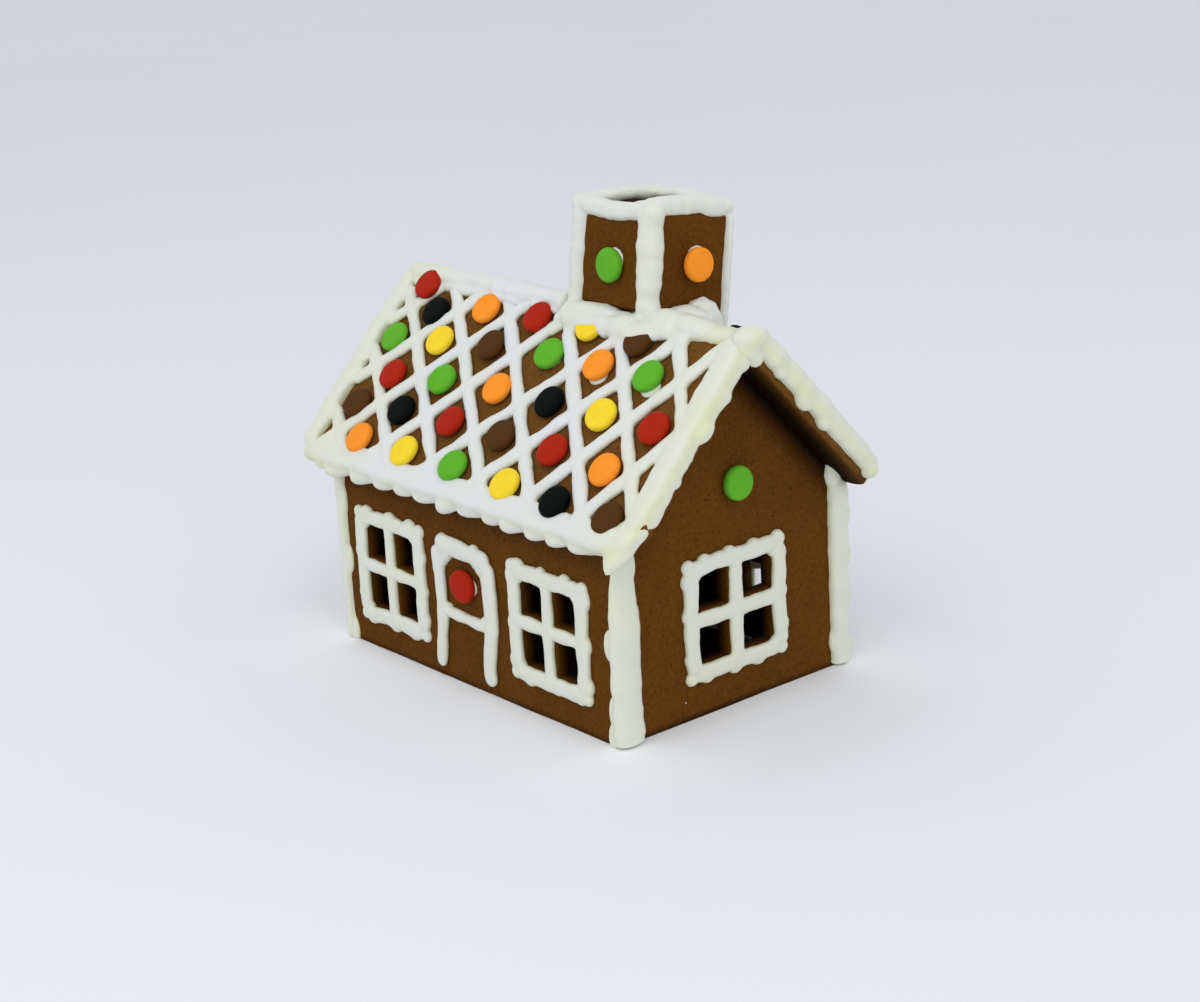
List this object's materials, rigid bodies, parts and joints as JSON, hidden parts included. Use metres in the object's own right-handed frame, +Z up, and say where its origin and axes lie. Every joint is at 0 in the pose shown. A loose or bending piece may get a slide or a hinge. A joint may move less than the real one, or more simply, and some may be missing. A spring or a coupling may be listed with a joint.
{
  "type": "gingerbread house",
  "caption": "Small hollow house of gingerbread panels with a leaning chimney, trimmed with piped white icing and flat round candies; stands free as an edible decoration.",
  "frame": {"origin": "Middle of the footprint, on the surface the house stands on.", "axes": "+X along the ridge towards the gable that the viewer sees, -Y towards the wall with the door that the viewer sees, +Z up."},
  "size_m": [0.2107, 0.1332, 0.1874],
  "materials": {
    "gingerbread": "matte",
    "gingerbread_roof": "matte",
    "icing": "satin",
    "candy_red": "gloss",
    "candy_orange": "gloss",
    "candy_yellow": "gloss",
    "candy_green": "gloss",
    "candy_brown": "gloss",
    "candy_black": "gloss"
  },
  "bodies": {
    "root": {"candy_chimney_green": "candy_green", "candy_chimney_orange": "candy_orange", "candy_door_red": "candy_red", "candy_gable_green": "candy_green", "candy_roof_01_red": "candy_red", "candy_roof_02_black": "candy_black", "candy_roof_03_orange": "candy_orange", "candy_roof_04_red": "candy_red", "candy_roof_05_yellow": "candy_yellow", "candy_roof_06_brown": "candy_brown", "candy_roof_07_green": "candy_green", "candy_roof_08_yellow": "candy_yellow", "candy_roof_09_brown": "candy_brown", "candy_roof_10_green": "candy_green", "candy_roof_11_orange": "candy_orange", "candy_roof_12_green": "candy_green", "candy_roof_13_red": "candy_red", "candy_roof_14_green": "candy_green", "candy_roof_15_orange": "candy_orange", "candy_roof_16_black": "candy_black", "candy_roof_17_yellow": "candy_yellow", "candy_roof_18_red": "candy_red", "candy_roof_19_brown": "candy_brown", "candy_roof_20_black": "candy_black", "candy_roof_21_red": "candy_red", "candy_roof_22_brown": "candy_brown", "candy_roof_23_red": "candy_red", "candy_roof_24_orange": "candy_orange", "candy_roof_25_orange": "candy_orange", "candy_roof_26_yellow": "candy_yellow", "candy_roof_27_green": "candy_green", "candy_roof_28_yellow": "candy_yellow", "candy_roof_29_black": "candy_black", "candy_roof_30_brown": "candy_brown", "chimney_back": "gingerbread", "chimney_front": "gingerbread", "chimney_left": "gingerbread", "chimney_right": "gingerbread", "gable_left": "gingerbread", "gable_right": "gingerbread", "icing_chimney": "icing", "icing_corner_back_left": "icing", "icing_corner_back_right": "icing", "icing_corner_front_left": "icing", "icing_corner_front_right": "icing", "icing_door_back": "icing", "icing_door_front": "icing", "icing_ridge": "icing", "icing_roof_back": "icing", "icing_roof_front": "icing", "icing_window_back_left": "icing", "icing_window_back_right": "icing", "icing_window_front_left": "icing", "icing_window_front_right": "icing", "icing_window_gable_left": "icing", "icing_window_gable_right": "icing", "roof_back": "gingerbread_roof", "roof_front": "gingerbread_roof", "wall_back": "gingerbread", "wall_front": "gingerbread"}
  },
  "joints": []
}
